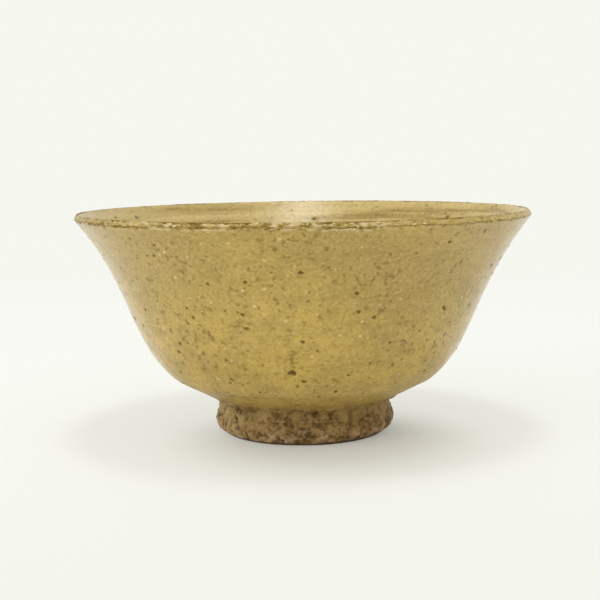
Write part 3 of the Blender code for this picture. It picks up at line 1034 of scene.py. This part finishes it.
class BOWL_OT_outer_glaze(bpy.types.Operator):
    """Make the outside's glaze coat with its pits and rings"""

    bl_idname = "bowl.outer_glaze"
    bl_label = "Outer Glaze"
    bl_options = UNDOABLE

    def execute(self, context):
        rows, columns = OUTER_GRID
        turn = turns(columns)
        cut = (np.zeros_like(turn), 2.0 * LIP_OVERLAP - lip_cut(turn, LOWER_EDGE))
        edge = uneven(turn, WIDEST_HEM, 1.1 * MM, MOSTLY_CLOSED, 1.05 * math.pi, BROKEN)
        bare = (0.4 * MM + uneven(turn, NECK_HEM, 2.2 * MM), edge)
        glaze_piece(
            context.scene, "outer_glaze_coat", OUTSIDE, "outside_glaze", "outer_glaze", rows,
            hems=(cut, bare, (2.0 * MM, 0.25 * MM)), depths={},
            ring_pitch=context.scene.bowl_finish.ring_pitch, ring_strength=0.05,
            hem_width=0.7 * MM, hem_strength=0.50, hem_density=420.0,
            warmth=0.7, specks=1.0, browned=0.65, chip_strength=0.65, chip_reach=1.8 * MM,
            coat_weight=0.9, coat_ior=1.27, coat_roughness=0.20,
        )
        return {"FINISHED"}


class BOWL_OT_lip_glaze(bpy.types.Operator):
    """Make the thin glaze on the lip's bevel, between its bare edges"""

    bl_idname = "bowl.lip_glaze"
    bl_label = "Lip Glaze"
    bl_options = UNDOABLE

    def execute(self, context):
        rows, columns = LIP_GRID
        turn = turns(columns)
        cut = (lip_cut(turn, LOWER_EDGE), 2.0 * LIP_OVERLAP - lip_cut(turn, UPPER_EDGE))
        towards_front = np.clip(0.75 - 0.65 * np.sin(turn), 0.1, 1.0)
        lower = uneven(turn, LIP_LOWER_HEM, 0.5 * MM, MOSTLY_CLOSED, swings=BROKEN)
        upper = uneven(turn, LIP_UPPER_HEM, 1.6 * MM, MOSTLY_CLOSED, 1.02 * math.pi, BROKEN)
        glaze_piece(
            context.scene, "lip_glaze_coat", LIP, "lip_glaze", "lip_glaze", rows,
            hems=(cut, (lower, towards_front * upper), (0.2 * MM, 0.2 * MM)),
            depths={"Skin Depth": 0.5 * MM, "Pit Depth": 0.2 * MM},
            ring_pitch=context.scene.bowl_finish.ring_pitch, ring_strength=0.1,
            hem_width=0.5 * MM, hem_strength=0.45, hem_density=480.0,
            warmth=0.1, specks=0.7, browned=0.0, chip_strength=0.85, chip_reach=EVERYWHERE,
            coat_weight=0.6, coat_ior=1.27, coat_roughness=0.25,
        )
        return {"FINISHED"}


class BOWL_OT_inner_glaze(bpy.types.Operator):
    """Make the inside's glaze coat, from the lip to the tea pool"""

    bl_idname = "bowl.inner_glaze"
    bl_label = "Inner Glaze"
    bl_options = UNDOABLE

    def execute(self, context):
        rows, columns = INNER_GRID
        turn = turns(columns)
        none = np.zeros_like(turn)
        glaze_piece(
            context.scene, "inner_glaze_coat", INSIDE, "inside_glaze", "inner_glaze", rows,
            hems=((lip_cut(turn, UPPER_EDGE), none), (none, none), (0.25 * MM, 0.0)),
            depths={"Ring Depth": 0.5 * MM, "Pit Depth": 0.3 * MM},
            ring_pitch=context.scene.bowl_finish.well_pitch, ring_strength=0.52,
            hem_width=0.4 * MM, hem_strength=0.5, hem_density=420.0,
            # Warmth of 1.2 is partly the gold glaze, partly painted light for the top lamp on the
            # upward-facing inside
            warmth=1.2, specks=0.4, browned=0.0, chip_strength=0.40, chip_reach=1.4 * MM,
            coat_weight=0.95, coat_ior=1.32, coat_roughness=0.28,
        )
        return {"FINISHED"}


class BOWL_OT_grains(bpy.types.Operator):
    """Scatter pale stone grains in the glaze and chips along the lip"""

    bl_idname = "bowl.grains"
    bl_label = "Stone Grains"
    bl_options = UNDOABLE

    def execute(self, context):
        finish = context.scene.bowl_finish
        material = grain_material("stone_grain", finish)
        # Coat, name, slot, grains on a square metre, then in mm the distance from a hem and the sizes
        wanted = (
            ("outer_glaze_coat", "outer_stone_grains", "outside_glaze", 8000.0,
             6.0, (0.28, 0.26, 0.10), (0.62, 0.56, 0.20)),
            ("inner_glaze_coat", "inner_stone_grains", "inside_glaze", 6000.0,
             3.0, (0.28, 0.25, 0.10), (0.60, 0.55, 0.20)),
            ("lip_glaze_coat", "lip_chips", "lip_glaze", 90000.0,
             0.1, (0.25, 0.15, 0.06), (0.9, 0.4, 0.20)),
        )
        for place, (source, name, slot, density, inland, least, most) in enumerate(wanted):
            values = {
                "Density": density, "Inland": inland * MM, "Least": [v * MM for v in least],
                "Most": [v * MM for v in most], "Seed": finish.seed + place, "Material": material,
            }
            piece = grown(name, bpy.data.objects[source].data.copy(), SCATTERED_GRAINS, values)
            for label in ("front", "hem", "fired_place"):
                layer = piece.data.attributes.get(label)
                if layer:
                    piece.data.attributes.remove(layer)
            place_piece(piece, slot)
        return {"FINISHED"}


def add_floor(scene, look):
    mesh = bpy.data.meshes.new("stage_floor")
    corners = [(x, y, 0.0) for y in (-FLOOR_REACH, FLOOR_END) for x in (-FLOOR_REACH, FLOOR_REACH)]
    mesh.from_pydata(corners, [], [(0, 1, 3, 2)])
    mesh.materials.append(floor_material(look))
    floor = bpy.data.objects.new("stage_floor", mesh)
    scene.collection.objects.link(floor)


def add_daylight(scene, look):
    """Even light all round, with the backdrop's colour where it is seen or mirrored."""
    world = scene.world or bpy.data.worlds.new("World")
    scene.world = world
    world.use_nodes = True
    world.node_tree.nodes.clear()
    sketch = Sketch(world.node_tree)
    rays = sketch.add("ShaderNodeLightPath").outputs
    seen = sketch.larger(rays["Is Camera Ray"], rays["Is Glossy Ray"])
    light = sketch.out("ShaderNodeBackground", {"Color": look.daylight, "Strength": look.sky})
    back = sketch.out("ShaderNodeBackground", {"Color": look.backdrop, "Strength": 1.0})
    both = sketch.out("ShaderNodeMixShader", {0: seen, 1: light, 2: back})
    sketch.add("ShaderNodeOutputWorld", {"Surface": both})


def add_lamp(scene, name, power, sides, place, target):
    lamp = bpy.data.lights.new(name, "AREA")
    lamp.energy = power
    lamp.shape = "RECTANGLE"
    lamp.size, lamp.size_y = sides
    held = bpy.data.objects.new(name, lamp)
    held.location = place
    held.rotation_euler = (Vector(target) - Vector(place)).to_track_quat("-Z", "Y").to_euler()
    scene.collection.objects.link(held)


def add_camera(scene, look):
    camera = bpy.data.objects.new("camera", bpy.data.cameras.new("camera"))
    camera.data.sensor_width = SENSOR
    camera.data.lens = LENS
    camera.data.clip_start = CLIP_START
    place = Matrix.Translation((CAMERA_ASIDE, -look.distance, look.camera_height))
    tilt = Matrix.Rotation(math.pi / 2.0 - look.pitch, 4, "X")
    camera.matrix_world = place @ tilt @ Matrix.Rotation(look.roll, 4, "Z")
    scene.collection.objects.link(camera)
    scene.camera = camera


class BOWL_OT_stage(bpy.types.Operator):
    """Set out the floor, the backdrop, the lamps and the camera"""

    bl_idname = "bowl.stage"
    bl_label = "Stage"
    bl_options = UNDOABLE

    def execute(self, context):
        scene, look = context.scene, context.scene.stage_look
        add_floor(scene, look)
        add_daylight(scene, look)
        add_lamp(
            scene, "top_lamp", look.top_lamp,
            sides=(0.20, 0.30), place=(0.0, -0.03, 1.15), target=(0.0, 0.0, 0.05),
        )
        add_lamp(
            scene, "side_lamp", look.side_lamp,
            sides=(1.20, 0.90), place=(-1.30, -0.80, 0.55), target=(0.0, 0.0, 0.04),
        )
        add_camera(scene, look)
        scene.view_settings.view_transform = "Standard"
        return {"FINISHED"}


class BOWL_PT_tea_bowl(bpy.types.Panel):
    """The bowl's sizes, colours and pieces"""

    bl_idname = "BOWL_PT_tea_bowl"
    bl_label = "Tea Bowl"
    bl_space_type = "VIEW_3D"
    bl_region_type = "UI"
    bl_category = "Tea Bowl"

    def draw(self, context):
        for group in (context.scene.bowl_shape, context.scene.bowl_finish, context.scene.stage_look):
            column = self.layout.column()
            for key in group.__annotations__:
                column.prop(group, key)
        for operator in OPERATORS:
            self.layout.operator(operator.bl_idname)


OPERATORS = (
    BOWL_OT_stage,
    BOWL_OT_clay_body,
    BOWL_OT_foot,
    BOWL_OT_slip,
    BOWL_OT_outer_glaze,
    BOWL_OT_lip_glaze,
    BOWL_OT_inner_glaze,
    BOWL_OT_grains,
)
GROUPS = {"bowl_shape": BowlShape, "bowl_finish": BowlFinish, "stage_look": StageLook}


def register():
    for made in (*GROUPS.values(), *OPERATORS, BOWL_PT_tea_bowl):
        bpy.utils.register_class(made)
    for name, group in GROUPS.items():
        setattr(bpy.types.Scene, name, PointerProperty(type=group))


def unregister():
    for name in GROUPS:
        delattr(bpy.types.Scene, name)
    for made in (BOWL_PT_tea_bowl, *reversed(OPERATORS), *GROUPS.values()):
        bpy.utils.unregister_class(made)


def main():
    register()
    for operator in OPERATORS:
        name = operator.bl_idname.split(".")[1]
        getattr(bpy.ops.bowl, name)()


if __name__ == "__main__":
    main()
